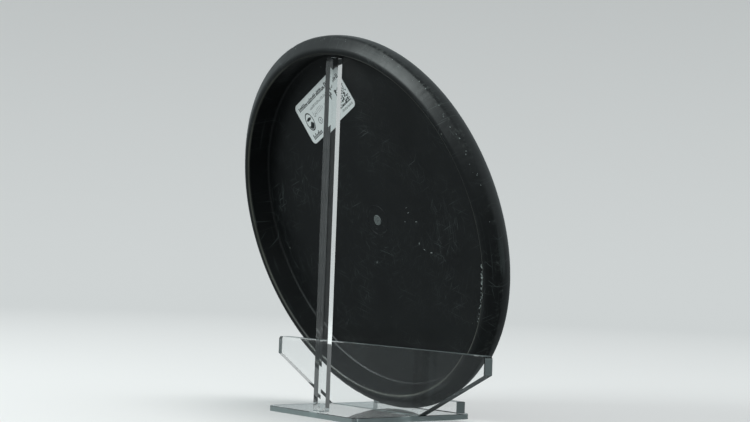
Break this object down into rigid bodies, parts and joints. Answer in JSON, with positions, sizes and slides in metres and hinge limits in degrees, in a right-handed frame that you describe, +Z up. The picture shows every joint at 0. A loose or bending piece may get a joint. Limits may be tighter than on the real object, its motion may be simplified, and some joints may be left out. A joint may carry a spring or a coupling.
{
  "type": "golf disc in display stand",
  "caption": "Flying golf disc with a price label on its open underside, leaning in a clear acrylic stand made of a base, a low cross panel, an upright post and a front stop.",
  "frame": {"origin": "on the surface that the stand rests on, under the centre of the disc and in the middle of the whole object's outline", "axes": "+Z up; -Y towards the side that the disc's open underside and the stand's post face; +X to the right as seen from that side; the disc leans 18.5 degrees from upright towards -Y"},
  "size_m": [0.217, 0.088, 0.2101],
  "materials": {
    "disc_plastic": "satin",
    "label_paper": "matte",
    "stamp_foil": "satin",
    "clear_acrylic": "polished"
  },
  "bodies": {
    "stand": {"base_plate": "clear_acrylic", "cross_panel": "clear_acrylic", "upright_post": "clear_acrylic", "front_stop": "clear_acrylic"},
    "disc": {"disc_body": "disc_plastic", "price_label": "label_paper", "foil_stamp": "stamp_foil"}
  },
  "joints": [
    {"name": "disc_lift", "type": "slide", "parent": "stand", "child": "disc", "axis": [0, 0, 1], "range_m": [0, 0.215]}
  ]
}
